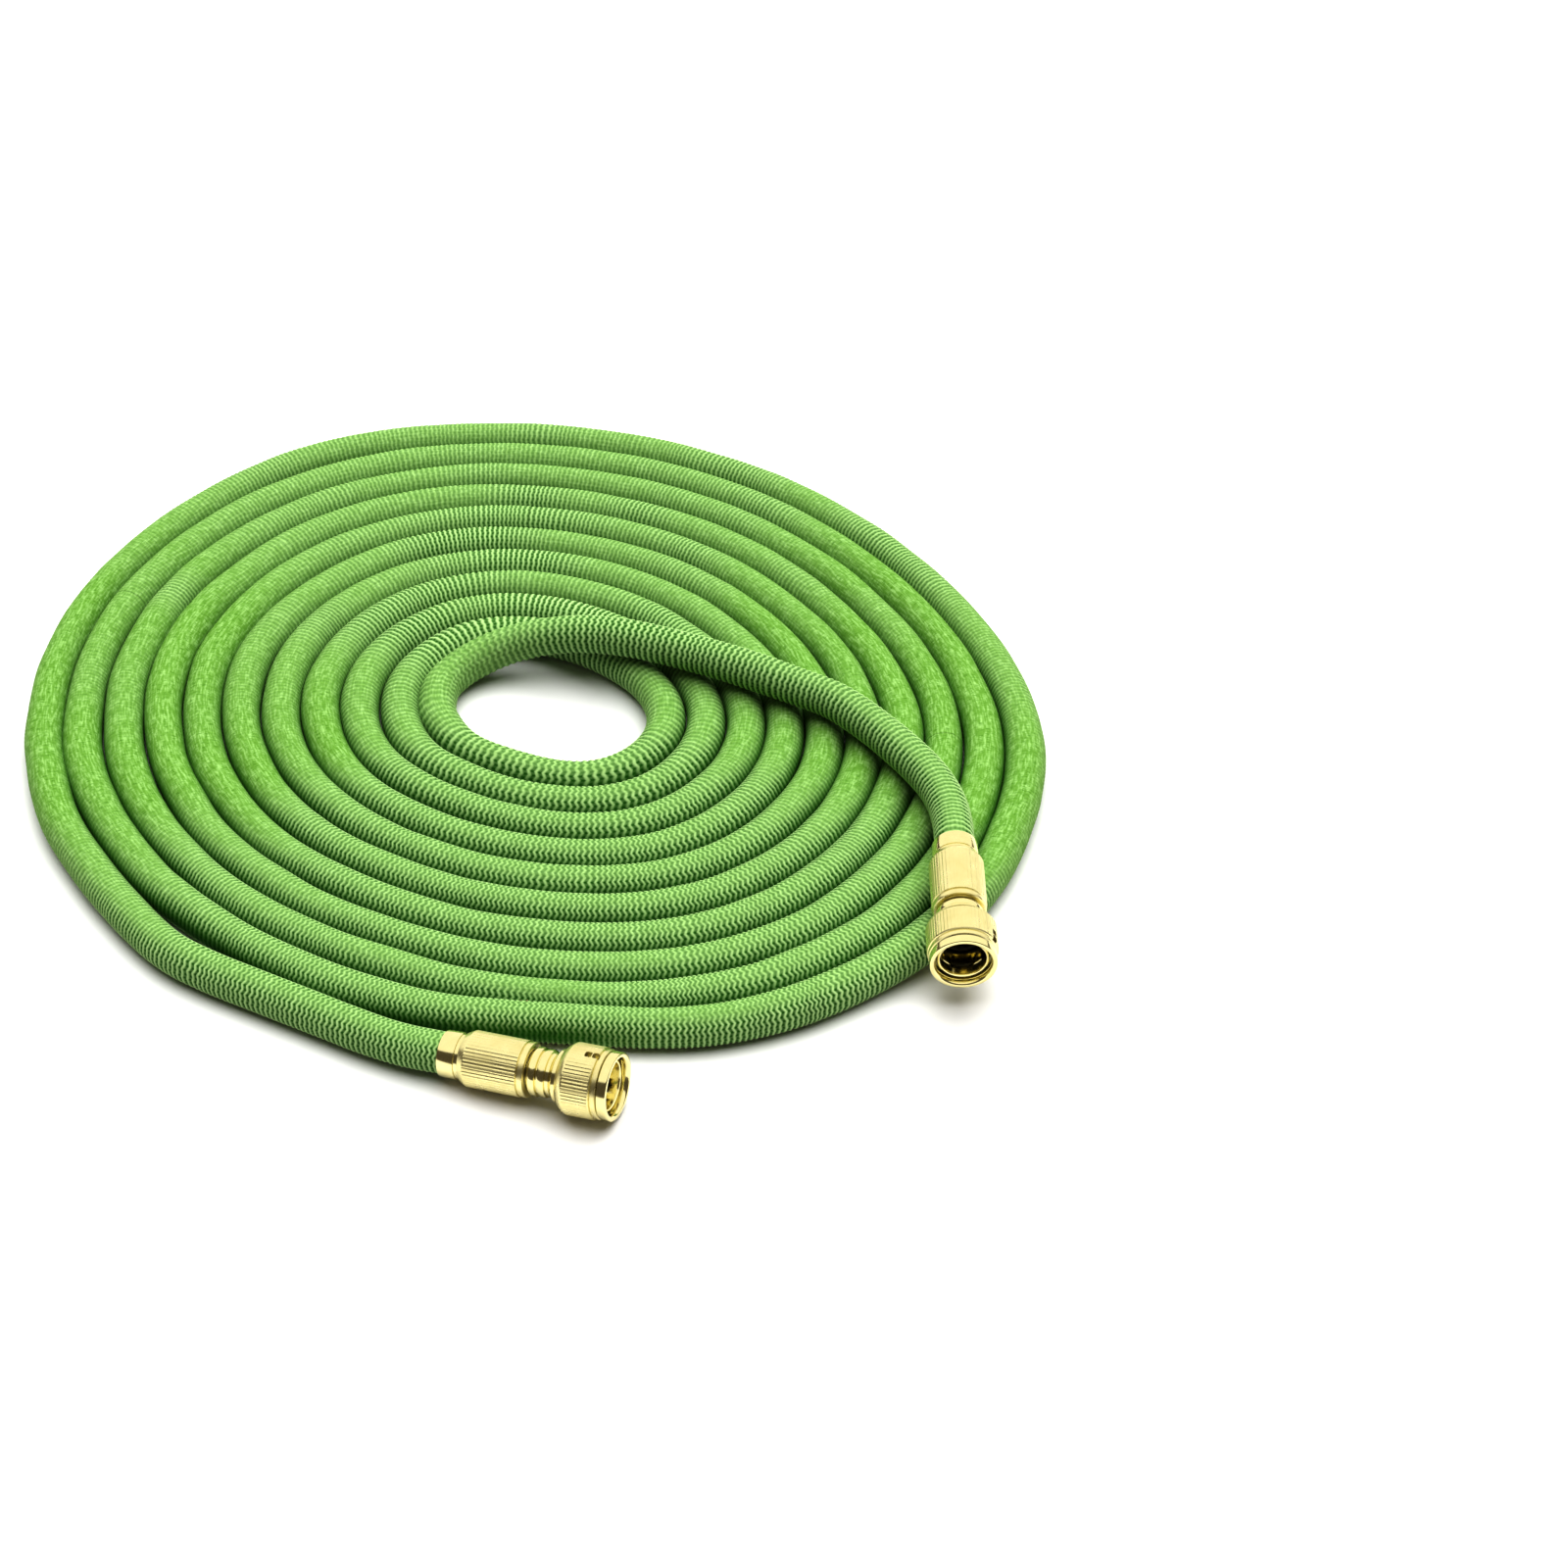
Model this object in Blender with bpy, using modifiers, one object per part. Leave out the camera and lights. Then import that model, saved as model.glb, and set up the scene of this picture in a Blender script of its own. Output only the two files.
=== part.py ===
# An expanding garden hose: a textile sheath over an elastic tube, wound flat in one layer,
# with a brass ferrule, a coupling and a push-on connector on each end.
# Angles run clockwise seen from above, from +X, so that 90 degrees is the front (-Y).
import math

import bmesh
import bpy
from mathutils import Vector

mm = 0.001

# The hose and its flat coil
hoseDiameter = 22 * mm
endDiameter = 21.2 * mm
turnPitch = 22 * mm
wholeTurns = 10
coilCentre = (5.6 * mm, 21.6 * mm)
coilStart = math.radians(185)
startRadius = 275.5 * mm
stretch = 19.4 * mm
stretchLossPerTurn = 1.1 * mm
leanAngle = math.radians(52)
leanLossPerTurn = math.radians(1.2)
restingHalfWidth = 5 * mm
valleyHeight = 16.2 * mm
hollowHeight = 5 * mm
topBends = (35, 0, -35)
sideBends = (118, 90, 62)
coilSteps = 44
gap = 0.35 * mm
endClearance = 0.8 * mm

# Routes of the two loose ends: each place is its angle, how many turns in from the coil's start
# it lies, and its height
onFloor = hoseDiameter / 2
onCoil = hoseDiameter + endDiameter / 2 + 0.6 * mm
outerRoute = [
    (177.5, -0.253, onFloor), (165.1, -0.534, onFloor), (154.3, -0.573, onFloor), (144.9, -0.64, onFloor),
    (137.1, -0.727, onFloor), (130.5, -0.69, onFloor), (123.8, -0.507, onFloor), (116.9, -0.383, onFloor),
    (110.2, -0.391, onFloor + 0.4 * mm), (105.8, -0.419, onFloor + 1.2 * mm),
]
innerRoute = [
    (204.2, 10.079, onFloor), (218.6, 10.163, onFloor + 0.8 * mm), (232.4, 10.247, onFloor + 3.6 * mm),
    (250, 10.308, onFloor + 8.8 * mm), (273.7, 10.268, onCoil - 6.6 * mm), (300, 9.984, onCoil - 1.6 * mm),
    (322.1, 9.56, onCoil), (338.1, 9.037, onCoil), (357.6, 7.697, onCoil), (8.8, 6.033, onCoil),
    (12.5, 5.228, onCoil), (17.8, 4.379, onCoil), (23, 3.45, onCoil), (27.6, 2.565, onCoil + 0.4 * mm),
    (31.9, 1.893, onCoil + 1.8 * mm), (35.8, 1.411, onCoil + 3.8 * mm),
]
routeSpacing = 30 * mm
straightFromCoil = 7 * mm
straightToFerrule = 4 * mm

# The two couplings: the place of the ferrule's back, given as on a route, the way the mouth
# points (degrees anticlockwise from +X), its dip, its bare neck and the angle of its windows
couplings = {
    "outer": {"back": (101.63, -0.46, 13.6 * mm), "heading": -24.8, "dip": -4, "neck": 14 * mm, "window": 180},
    "inner": {"back": (39.14, 1.009, 38.6 * mm), "heading": -94, "dip": 5, "neck": 6 * mm, "window": 118},
}

# Turned brass, from the ferrule's back to the mouth
turnedSides = 24
ferruleLength = 11 * mm
ferruleRadius = 12 * mm
ferruleChamfer = 0.5 * mm
hoseInFerrule = 9 * mm
bodyLength = 36 * mm
bodyRadius = 14.3 * mm
bodyBackChamfer = 3.6 * mm
bodyFrontChamfer = 0.7 * mm
bodyLip = 0.4 * mm
waterwayRadius = 5 * mm
spigotLength = 11 * mm
spigotRadius = 9.9 * mm
neckRadius = 11.7 * mm
threadDepth = 0.9 * mm
threadWidth = 1.8 * mm
threadRootWidth = 0.8 * mm
threadPlaces = (0.75, 0.4)
barrelRadius = 13.4 * mm
barrelLength = 25.4 * mm
barrelChamfer = 1.5 * mm
socketRadius = 11.5 * mm
socketDepth = 17 * mm
seatRadius = 7.5 * mm
seatDepth = 8 * mm
collarRadius = 18.2 * mm
collarLength = 25 * mm
collarBackRadius = 15.5 * mm
collarTaper = 4.5 * mm
collarBand = 2.6 * mm
collarStep = 0.6 * mm
slideClearance = 0.35 * mm
mouthRadius = 17.2 * mm
mouthLength = 4.9 * mm
mouthChamfer = 0.8 * mm

# Locking claws, their slots in the barrel, the seal and the collar's windows
clawCount = 4
clawWidth = 6 * mm
clawLength = 5 * mm
clawReach = 1.4 * mm
clawSetback = 6.5 * mm
clawEdge = 0.3 * mm
clawInset = 0.2 * mm
slotDepth = 7.6 * mm
sealThickness = 2.4 * mm
windowLength = 4.2 * mm
windowWidth = 2.4 * mm
windowWeb = 1.2 * mm
windowSetback = 5 * mm
windowDepth = 8 * mm

for old in list(bpy.data.objects):
    bpy.data.objects.remove(old)

partsCollection = bpy.data.collections.new("garden_hose")
cuttersCollection = bpy.data.collections.new("cutters")
for collection in (partsCollection, cuttersCollection):
    bpy.context.scene.collection.children.link(collection)


def material(name, colour, roughness, metallic):
    made = bpy.data.materials.new(name)
    made.use_nodes = True
    shader = made.node_tree.nodes["Principled BSDF"]
    shader.inputs["Base Color"].default_value = (*colour, 1)
    shader.inputs["Roughness"].default_value = roughness
    shader.inputs["Metallic"].default_value = metallic
    return made


def addObject(name, data, collection=partsCollection, parent=None, finish=None):
    made = bpy.data.objects.new(name, data)
    collection.objects.link(made)
    made.parent = parent
    if finish:
        data.materials.append(material(name, *finish))
    return made


greenSheath = ((0.155, 0.48, 0.05), 0.85, 0)
yellowBrass = ((0.78, 0.58, 0.2), 0.28, 1)
blackRubber = ((0.02, 0.02, 0.02), 0.7, 0)


def strandRadius(turns, angle):
    lean = leanAngle - leanLossPerTurn * turns
    outOfRound = (stretch - stretchLossPerTurn * turns) * math.cos(2 * (angle - lean))
    return startRadius - turnPitch * turns + outOfRound


def place(turns, angle, height, sideways=0):
    radius = strandRadius(turns, angle) + sideways
    return Vector((coilCentre[0] + radius * math.cos(angle), coilCentre[1] - radius * math.sin(angle), height))


def routePlace(entry):
    degrees, turns, height = entry
    return place(turns, math.radians(degrees), height)


def coilOutline():
    # The coil's section at one angle: each entry is a key, a turn number, a sideways place and a height
    half = hoseDiameter / 2
    last = wholeTurns - 1

    def onStrand(kind, turn, degrees):
        bend = math.radians(degrees)
        return ((kind, degrees), turn, half * math.sin(bend), half + half * math.cos(bend))

    outline = [onStrand("outer", 0, degrees) for degrees in sideBends]
    for turn in range(wholeTurns):
        outline += [onStrand("top", turn, degrees) for degrees in topBends]
        if turn < last:
            outline.append((("valley", 1), turn, -turnPitch / 2, valleyHeight))
    outline += [onStrand("inner", last, -degrees) for degrees in reversed(sideBends)]
    for turn in reversed(range(wholeTurns)):
        outline += [(("rest", side), turn, side * restingHalfWidth, 0) for side in (-1, 1)]
        if turn > 0:
            outline.append((("hollow", 1), turn - 1, -turnPitch / 2, hollowHeight))
    return outline


def buildCoil():
    # The section is carried round once while it drifts inward by one pitch, so each turn
    # meets the next one at the seam; two crescent faces close the hose's two ends there.
    mesh = bmesh.new()
    made = {}

    def vertex(entry, step):
        key, turn, sideways, height = entry
        number = turn + step // coilSteps
        share = step % coilSteps / coilSteps
        code = (key, number, share)
        if code not in made:
            angle = coilStart + 2 * math.pi * share
            made[code] = mesh.verts.new(place(number + share, angle, height, sideways))
        return made[code]

    outline = coilOutline()
    for step in range(coilSteps):
        near = [vertex(entry, step) for entry in outline]
        far = [vertex(entry, step + 1) for entry in outline]
        for i in range(len(outline)):
            mesh.faces.new((near[i - 1], near[i], far[i], far[i - 1]))

    def atSeam(kinds, number):
        return [made[(key, number, 0)] for key in kinds]

    crest = [("top", degrees) for degrees in topBends]
    outerSide = [("outer", degrees) for degrees in sideBends]
    innerSide = [("inner", -degrees) for degrees in reversed(sideBends)]
    outerEnd = atSeam([("hollow", 1), ("rest", -1), ("rest", 1)] + outerSide + crest + [("valley", 1)], 0)
    outerEnd += atSeam([crest[0]] + outerSide[::-1] + [("rest", 1)], 1)
    innerEnd = atSeam(crest + innerSide + [("rest", -1), ("rest", 1)], wholeTurns)
    innerEnd += atSeam([("hollow", 1), ("rest", -1)] + innerSide[::-1] + [crest[-1], ("valley", 1)],
                       wholeTurns - 1)
    mesh.faces.new(outerEnd)
    mesh.faces.new(innerEnd)
    bmesh.ops.recalc_face_normals(mesh, faces=mesh.faces)
    data = bpy.data.meshes.new("hose_coil")
    mesh.to_mesh(data)
    mesh.free()
    addObject("hose_coil", data, finish=greenSheath)


def smoothRoute(points):
    # A Catmull-Rom curve through the points, with about one routeSpacing between its own points
    ends = [2 * points[0] - points[1]] + points + [2 * points[-1] - points[-2]]
    route = []
    for a, b, c, d in zip(ends, ends[1:], ends[2:], ends[3:]):
        pieces = max(1, round((c - b).length / routeSpacing))
        for i in range(pieces):
            t = i / pieces
            route.append(0.5 * (2 * b + (c - a) * t + (2 * a - 5 * b + 4 * c - d) * t ** 2
                                + (3 * b - a - 3 * c + d) * t ** 3))
    return route + [points[-1]]


def buildLooseEnd(name, turnsIn, route, coupling):
    # From the coil's seam to inside the ferrule
    clear = -endClearance if turnsIn else endClearance
    atCoil = place(turnsIn, coilStart, onFloor, clear)
    onward = Vector((-math.sin(coilStart), -math.cos(coilStart), 0))
    leaving = onward if turnsIn else -onward
    points = [atCoil + gap * leaving, atCoil + straightFromCoil * leaving]
    points += [routePlace(entry) for entry in route]
    back = coupling.matrix_world.translation
    ahead = coupling.matrix_world.to_3x3() @ Vector((0, 0, 1))
    points += [back - straightToFerrule * ahead, back + hoseInFerrule * ahead]
    curve = bpy.data.curves.new(name, "CURVE")
    curve.dimensions = "3D"
    curve.bevel_depth = endDiameter / 2
    curve.bevel_resolution = 3
    curve.use_fill_caps = True
    route = smoothRoute(points)
    spline = curve.splines.new("POLY")
    spline.points.add(len(route) - 1)
    for target, source in zip(spline.points, route):
        target.co = (*source, 1)
    addObject(name, curve, finish=greenSheath)


def turned(name, profile, coupling, finish, sides=turnedSides, collection=partsCollection):
    # The profile lists radius and place along the axis, from the mouth end back on the outer side
    data = bpy.data.meshes.new(name)
    rim = [(radius, 0, along) for radius, along in profile]
    edges = [(i, (i + 1) % len(rim)) for i in range(len(rim))]
    data.from_pydata(rim, edges, [])
    made = addObject(name, data, collection, coupling, finish)
    screw = made.modifiers.new("turn", "SCREW")
    screw.axis = "Z"
    screw.angle = 2 * math.pi
    screw.steps = sides
    screw.render_steps = sides
    screw.use_merge_vertices = True
    screw.merge_threshold = 0.00001
    screw.use_normal_calculate = True
    return made


def cutBlock(name, target, size, centre, angle):
    bpy.ops.mesh.primitive_cube_add(size=1)
    block = bpy.context.object
    block.name = name
    for collection in list(block.users_collection):
        collection.objects.unlink(block)
    cuttersCollection.objects.link(block)
    block.scale = size
    radius, along = centre
    block.location = (radius * math.cos(angle), radius * math.sin(angle), along)
    block.rotation_euler = (0, 0, angle)
    block.parent = target.parent
    block.hide_render = True
    block.display_type = "WIRE"
    cut = target.modifiers.new(name, "BOOLEAN")
    cut.operation = "DIFFERENCE"
    cut.solver = "EXACT"
    cut.object = block


def clawAngle(number):
    return 2 * math.pi * (number + 0.5) / clawCount


def buildCoupling(end, facts):
    coupling = addObject(end + "_coupling", None)
    coupling.location = routePlace(facts["back"])
    coupling.rotation_euler = (0, math.radians(90 + facts["dip"]), math.radians(facts["heading"]))
    bpy.context.view_layer.update()

    bore = endDiameter / 2 + gap
    turned(end + "_ferrule", [
        (ferruleRadius, ferruleLength), (ferruleRadius, ferruleChamfer), (ferruleRadius - ferruleChamfer, 0),
        (bore, 0), (bore, ferruleLength),
    ], coupling, yellowBrass)

    bodyBack = ferruleLength + gap
    bodyFront = bodyBack + bodyLength
    spigotBack = bodyFront - spigotLength
    turned(end + "_coupling_body", [
        (bodyRadius - bodyFrontChamfer, bodyFront), (bodyRadius, bodyFront - bodyFrontChamfer),
        (bodyRadius, bodyBack + bodyBackChamfer), (ferruleRadius + bodyLip, bodyBack),
        (waterwayRadius, bodyBack), (waterwayRadius, spigotBack - gap),
        (spigotRadius + gap, spigotBack - gap), (spigotRadius + gap, bodyFront),
    ], coupling, yellowBrass)

    neckBack = bodyFront + gap
    barrelBack = neckBack + facts["neck"]
    barrelFront = barrelBack + barrelLength
    seatBack = barrelFront - socketDepth - seatDepth
    threadRoot = neckRadius - threadDepth
    grooves = []
    for share in threadPlaces:
        middle = neckBack + share * facts["neck"]
        grooves += [(neckRadius, middle + threadWidth / 2), (threadRoot, middle + threadRootWidth / 2),
                    (threadRoot, middle - threadRootWidth / 2), (neckRadius, middle - threadWidth / 2)]
    barrel = turned(end + "_connector_body", [
        (barrelRadius, barrelFront), (barrelRadius, barrelBack + barrelChamfer), (neckRadius, barrelBack),
    ] + grooves + [
        (neckRadius, neckBack), (spigotRadius, neckBack), (spigotRadius, spigotBack),
        (waterwayRadius, spigotBack), (waterwayRadius, seatBack), (seatRadius, seatBack),
        (seatRadius, barrelFront - socketDepth), (socketRadius, barrelFront - socketDepth),
        (socketRadius, barrelFront),
    ], coupling, yellowBrass)

    collarBore = barrelRadius + slideClearance
    collarBack = barrelFront - collarLength
    collar = turned(end + "_release_collar", [
        (collarRadius - collarStep, barrelFront), (collarRadius - collarStep, barrelFront - collarBand),
        (collarRadius, barrelFront - collarBand - collarStep), (collarRadius, collarBack + collarTaper),
        (collarBackRadius, collarBack), (collarBore, collarBack), (collarBore, barrelFront),
    ], coupling, yellowBrass)

    mouthBack = barrelFront + gap
    mouthFront = mouthBack + mouthLength
    turned(end + "_mouth_ring", [
        (mouthRadius - mouthChamfer, mouthFront), (mouthRadius, mouthFront - mouthChamfer),
        (mouthRadius, mouthBack), (socketRadius, mouthBack), (socketRadius, mouthFront - mouthChamfer),
        (socketRadius + mouthChamfer, mouthFront),
    ], coupling, yellowBrass)

    bpy.ops.mesh.primitive_torus_add(
        major_radius=socketRadius - sealThickness / 2 - gap, minor_radius=sealThickness / 2,
        major_segments=20, minor_segments=8,
        location=(0, 0, barrelFront - socketDepth + sealThickness / 2 + gap))
    seal = bpy.context.object
    seal.name = end + "_seal_ring"
    for collection in list(seal.users_collection):
        collection.objects.unlink(seal)
    partsCollection.objects.link(seal)
    seal.parent = coupling
    seal.data.materials.append(material(seal.name, *blackRubber))

    clawMiddle = barrelFront - clawSetback
    clawInside = socketRadius - clawReach
    clawOutside = barrelRadius - clawInset
    slotMiddle = (barrelRadius + socketRadius) / 2
    for number in range(clawCount):
        angle = clawAngle(number)
        slotSize = (slotDepth, clawWidth + 2 * gap, clawLength + 2 * gap)
        cutBlock(f"{end}_claw_slot_{number + 1}", barrel, slotSize, (slotMiddle, clawMiddle), angle)
        bpy.ops.mesh.primitive_cube_add(size=1)
        claw = bpy.context.object
        claw.name = f"{end}_locking_claw_{number + 1}"
        for collection in list(claw.users_collection):
            collection.objects.unlink(claw)
        partsCollection.objects.link(claw)
        claw.scale = (clawOutside - clawInside, clawWidth, clawLength)
        middle = (clawOutside + clawInside) / 2
        claw.location = (middle * math.cos(angle), middle * math.sin(angle), clawMiddle)
        claw.rotation_euler = (0, 0, angle)
        claw.parent = coupling
        claw.data.materials.append(material(claw.name, *yellowBrass))
        bevel = claw.modifiers.new("edges", "BEVEL")
        bevel.width = clawEdge
        bevel.segments = 1

    windowMiddle = barrelFront - windowSetback
    for side in (0, math.pi):
        for step in (-0.5, 0.5):
            angle = math.radians(facts["window"]) + side
            along = windowMiddle - windowLength / 2 + step * (windowLength + windowWeb)
            name = f"{end}_window_{len(cuttersCollection.objects) + 1}"
            cutBlock(name, collar, (windowDepth, windowWidth, windowLength), (collarRadius, along), angle)
    return coupling


buildCoil()
outerCoupling = buildCoupling("outer", couplings["outer"])
innerCoupling = buildCoupling("inner", couplings["inner"])
buildLooseEnd("hose_outer_end", 0, outerRoute, outerCoupling)
buildLooseEnd("hose_inner_end", wholeTurns, innerRoute, innerCoupling)
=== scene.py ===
# The looks of an expanding garden hose, wound flat: a gathered green sheath over an elastic tube,
# with a knurled brass coupling and push-on connector on each end.
import math

import bpy
import numpy as np
from mathutils import Euler, Matrix, Vector


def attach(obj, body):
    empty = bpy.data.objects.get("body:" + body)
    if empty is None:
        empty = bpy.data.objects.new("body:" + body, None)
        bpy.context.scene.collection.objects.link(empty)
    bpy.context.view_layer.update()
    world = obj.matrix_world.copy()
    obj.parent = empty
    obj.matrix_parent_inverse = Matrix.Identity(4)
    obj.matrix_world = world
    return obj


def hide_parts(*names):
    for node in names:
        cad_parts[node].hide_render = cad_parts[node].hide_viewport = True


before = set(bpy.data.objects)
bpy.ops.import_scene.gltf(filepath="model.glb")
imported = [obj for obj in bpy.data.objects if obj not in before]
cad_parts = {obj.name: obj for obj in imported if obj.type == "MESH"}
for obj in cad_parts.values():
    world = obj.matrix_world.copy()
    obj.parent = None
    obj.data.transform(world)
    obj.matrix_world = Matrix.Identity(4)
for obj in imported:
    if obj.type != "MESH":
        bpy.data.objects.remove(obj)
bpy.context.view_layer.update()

mm = 0.001

camera = {"place": (0.6 * mm, -1560.5 * mm, 1228.7 * mm), "aim": (135.7 * mm, -42.1 * mm, 0), "lens": 82.18}


def addCamera(settings):
    data = bpy.data.cameras.new("camera")
    data.lens = settings["lens"]
    made = bpy.data.objects.new("camera", data)
    bpy.context.scene.collection.objects.link(made)
    made.location = settings["place"]
    made.rotation_euler = (Vector(settings["aim"]) - made.location).to_track_quat("-Z", "Y").to_euler()
    bpy.context.scene.camera = made
    print("camera placed")


addCamera(camera)

# The hose's line: the coil and the two loose ends, as the model has them
coil = {
    "centre": (5.6 * mm, 21.6 * mm), "start": math.radians(185), "turns": 10, "pitch": 22 * mm,
    "startRadius": 275.5 * mm, "stretch": 19.4 * mm, "stretchLoss": 1.1 * mm,
    "lean": math.radians(52), "leanLoss": math.radians(1.2),
}
hose = {"diameter": 22 * mm, "endDiameter": 21.2 * mm, "step": 1 * mm, "easing": 7, "placesPerTurn": 1440}
onFloor = hose["diameter"] / 2
onCoil = hose["diameter"] + hose["endDiameter"] / 2 + 0.6 * mm

# Each place is an angle clockwise from +X, how many turns in from the coil's start, and a height
outerRoute = [
    (177.5, -0.17, onFloor), (165.1, -0.4, onFloor), (154.3, -0.46, onFloor), (144.9, -0.56, onFloor),
    (137.2, -0.657, onFloor), (131.2, -0.524, onFloor), (124.4, -0.324, onFloor), (117.3, -0.245, onFloor),
    (110.3, -0.333, onFloor + 0.4 * mm), (105.8, -0.419, onFloor + 1.2 * mm),
]
innerRoute = [
    (204.2, 10.079, onFloor), (218.6, 10.163, onFloor + 0.8 * mm), (232.4, 10.247, onFloor + 3.6 * mm),
    (250, 10.308, onFloor + 8.8 * mm), (273.7, 10.268, onCoil - 6.6 * mm), (300, 9.984, onCoil - 1.6 * mm),
    (322.1, 9.56, onCoil), (338.1, 9.037, onCoil), (357.6, 7.697, onCoil), (8.8, 6.033, onCoil),
    (12.5, 5.228, onCoil), (17.8, 4.379, onCoil), (23, 3.45, onCoil), (27.6, 2.565, onCoil + 0.4 * mm),
    (31.9, 1.893, onCoil + 1.8 * mm), (35.8, 1.411, onCoil + 3.8 * mm),
]
# Where the turns lie further out than their even spiral, or further in: angle, spread in degrees,
# and how far at the outermost and at the innermost turn
bulges = [
    (65, 20, 5.0 * mm, 2.2 * mm), (148, 27, 5.8 * mm, 3.6 * mm), (222, 25, -3.4 * mm, -3.0 * mm),
    (204, 38, 0, -2.6 * mm), (276, 26, -2.4 * mm, -0.8 * mm), (338, 20, -2.8 * mm, 0),
]
# The same for one place on one turn: turns in, spread in turns, and how far
kinks = [
    (0.06, 0.06, -2.2 * mm), (0.165, 0.03, 3.0 * mm), (0.52, 0.045, 1.7 * mm), (0.6, 0.03, 2.5 * mm),
    (0.735, 0.035, -7.0 * mm), (0.965, 0.04, 2.6 * mm), (1.8, 0.04, -1.6 * mm), (3.2, 0.04, 1.4 * mm),
    (5.2, 0.04, 1.2 * mm),
]
bulgesFade = 0.15  # turns over which the bulges die away at the innermost end
# Where each coupling's ferrule begins, as a route place, and which way it points, in degrees
couplings = {
    "outer": {"back": (101.63, -0.46, 13.6 * mm), "heading": -24.8, "dip": -4, "neck": 14, "window": 180},
    "inner": {"back": (39.14, 1.009, 38.6 * mm), "heading": -94, "dip": 5, "neck": 6, "window": 118},
}


def evenRadius(turns, angle):
    lean = coil["lean"] - coil["leanLoss"] * turns
    outOfRound = (coil["stretch"] - coil["stretchLoss"] * turns) * np.cos(2 * (angle - lean))
    return coil["startRadius"] - coil["pitch"] * turns + outOfRound


def strandRadius(turns, angle):
    radius = evenRadius(turns, angle)
    share = np.clip(turns / coil["turns"], 0, 1)
    last = np.clip((coil["turns"] - turns) / bulgesFade, 0, 1)
    for middle, spread, outermost, innermost in bulges:
        off = (np.degrees(angle) - middle + 180) % 360 - 180
        radius = radius + (outermost + (innermost - outermost) * share) * np.exp(-(off / spread) ** 2) * last
    for middle, spread, outward in kinks:
        radius = radius + outward * np.exp(-((turns - middle) / spread) ** 2)
    return radius


def onTurn(turns, angle, height, radiusOf=evenRadius):
    radius = radiusOf(turns, angle)
    x = coil["centre"][0] + radius * np.cos(angle)
    y = coil["centre"][1] - radius * np.sin(angle)
    return np.stack([x, y, height + 0 * radius], axis=-1)


def routePlace(entry):
    degrees, turns, height = entry
    return onTurn(turns, math.radians(degrees), height)


def couplingMatrix(facts):
    turn = Euler((0, math.radians(90 + facts["dip"]), math.radians(facts["heading"])))
    return Matrix.Translation(Vector(routePlace(facts["back"]))) @ turn.to_matrix().to_4x4()


def smoothRoute(points, spacing):
    # A Catmull-Rom curve through the points
    ends = np.vstack([2 * points[0] - points[1], points, 2 * points[-1] - points[-2]])
    route = []
    for a, b, c, d in zip(ends, ends[1:], ends[2:], ends[3:]):
        pieces = max(1, round(np.linalg.norm(c - b) / spacing))
        for t in np.arange(pieces) / pieces:
            route.append(0.5 * (2 * b + (c - a) * t + (2 * a - 5 * b + 4 * c - d) * t ** 2
                                + (3 * b - a - 3 * c + d) * t ** 3))
    return np.array(route + [points[-1]])


def looseEnd(fromTurn, route, matrix):
    # From the coil's start or end, through the route's places, to 9 mm inside the ferrule
    back = np.array(matrix.translation)
    ahead = np.array(matrix.to_3x3() @ Vector((0, 0, 1)))
    points = [onTurn(fromTurn, coil["start"], onFloor)] + [routePlace(entry) for entry in route]
    return smoothRoute(np.array(points + [back - 4 * mm * ahead, back + 9 * mm * ahead]), hose["step"])


def lengthsTo(points):
    return np.r_[0, np.cumsum(np.linalg.norm(np.diff(points, axis=0), axis=1))]


def evenSteps(points, step):
    gone = lengthsTo(points)
    at = np.linspace(0, gone[-1], round(gone[-1] / step) + 1)
    return np.stack([np.interp(at, gone, points[:, i]) for i in range(3)], axis=1), at


def hoseLine():
    # From the outer ferrule, in along the coil, and out over the turns to the inner ferrule. Each place comes
    # with how far along it lies, how many turns in, and whether it is on the coil
    outerEnd = looseEnd(0, outerRoute, couplingMatrix(couplings["outer"]))[::-1]
    innerEnd = looseEnd(coil["turns"], innerRoute, couplingMatrix(couplings["inner"]))
    turns = np.linspace(0, coil["turns"], coil["turns"] * hose["placesPerTurn"] + 1)
    middle = onTurn(turns, coil["start"] + 2 * math.pi * turns, onFloor, strandRadius)
    points, gone = evenSteps(np.vstack([outerEnd[:-1], middle, innerEnd[1:]]), hose["step"])
    reach = hose["easing"]
    kernel = np.ones(2 * reach + 1) / (2 * reach + 1)
    soft = np.copy(points)
    for i in range(3):
        soft[reach:-reach, i] = np.convolve(points[:, i], kernel, "valid")
    coilFrom = lengthsTo(outerEnd)[-1]
    coilLength = lengthsTo(middle)[-1]
    shareIn = (gone - coilFrom) / coilLength
    coilShare = lengthsTo(middle) / coilLength
    return soft, gone, np.interp(shareIn, coilShare, turns), (shareIn >= 0) & (shareIn <= 1)


line, along, turnsIn, inCoil = hoseLine()


def addMesh(name, points, faces):
    data = bpy.data.meshes.new(name)
    data.from_pydata(points, [], faces)
    made = bpy.data.objects.new(name, data)
    bpy.context.scene.collection.objects.link(made)
    data.shade_smooth()
    return made


def ringFrames(points):
    # The way the hose runs at each point, its level side (towards the coil's middle) and its upper side
    ahead = np.gradient(points, axis=0)
    ahead /= np.linalg.norm(ahead, axis=1)[:, None]
    side = np.cross(ahead, (0, 0, 1))
    side /= np.linalg.norm(side, axis=1)[:, None]
    return ahead, side, np.cross(side, ahead)


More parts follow.
